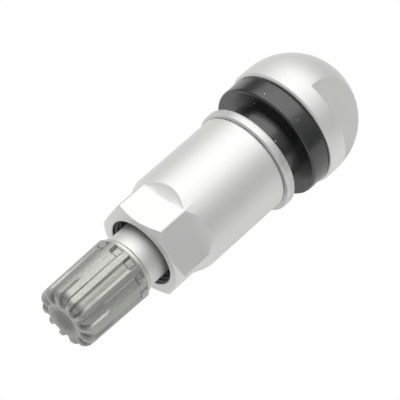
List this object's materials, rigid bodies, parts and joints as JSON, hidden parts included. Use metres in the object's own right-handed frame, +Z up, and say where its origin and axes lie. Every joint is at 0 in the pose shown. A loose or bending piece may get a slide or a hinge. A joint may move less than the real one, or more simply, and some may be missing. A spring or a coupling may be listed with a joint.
{
  "type": "tyre valve",
  "caption": "Clamp-in tyre valve with a domed stem, rubber rim grommet, washer, hexagon sleeve nut, fluted dust cap and a sprung valve core inside.",
  "frame": {"origin": "on the valve axis, in the grommet face that seats on the rim", "axes": "+X along the valve axis, out through the rim towards the cap; +Z up with the valve lying level"},
  "size_m": [0.0501, 0.017, 0.017],
  "materials": {
    "satin_aluminium": "satin, fine blasted and clear anodised",
    "turned_aluminium": "bright turned, fine rings",
    "black_rubber": "matt moulded rubber with a soft sheen",
    "grey_plastic": "moulded plastic with a fine metallic fleck",
    "core_brass": "turned brass",
    "pin_steel": "drawn wire",
    "gasket_plastic": "plain moulded"
  },
  "bodies": {
    "valve": {"valve_stem": "satin_aluminium", "rim_grommet": "black_rubber", "core_plug": "core_brass", "core_barrel": "core_brass", "core_gasket": "gasket_plastic", "core_spring": "pin_steel"},
    "washer": {"clamp_washer": "turned_aluminium"},
    "nut": {"sleeve_nut": "satin_aluminium"},
    "cap_disc": {"cap_seal": "black_rubber"},
    "cap": {"cap_shell": "grey_plastic"},
    "plunger": {"core_pin": "pin_steel", "plunger_cup": "core_brass", "plunger_seal": "black_rubber"}
  },
  "joints": [
    {"name": "nut_travel", "type": "slide", "parent": "valve", "child": "washer", "axis": [1, 0, 0], "range_m": [0, 0.009]},
    {"name": "nut_turn", "type": "hinge", "parent": "washer", "child": "nut", "pos_m": [0.0136, 0, 0], "axis": [1, 0, 0], "range_deg": [0, 4322]},
    {"name": "cap_travel", "type": "slide", "parent": "valve", "child": "cap_disc", "axis": [1, 0, 0], "range_m": [0, 0.00921]},
    {"name": "cap_turn", "type": "hinge", "parent": "cap_disc", "child": "cap", "pos_m": [0.031, 0, 0], "axis": [1, 0, 0], "range_deg": [0, 4178]},
    {"name": "pin_press", "type": "slide", "parent": "valve", "child": "plunger", "axis": [-1, 0, 0], "range_m": [0, 0.001], "stiffness_N_per_m": 1500, "deforming": ["core_spring"]}
  ],
  "couplings": [
    {"joint": "nut_turn", "follows": "nut_travel", "rad_per_m": 8377.6},
    {"joint": "cap_turn", "follows": "cap_travel", "rad_per_m": 7915.8}
  ]
}
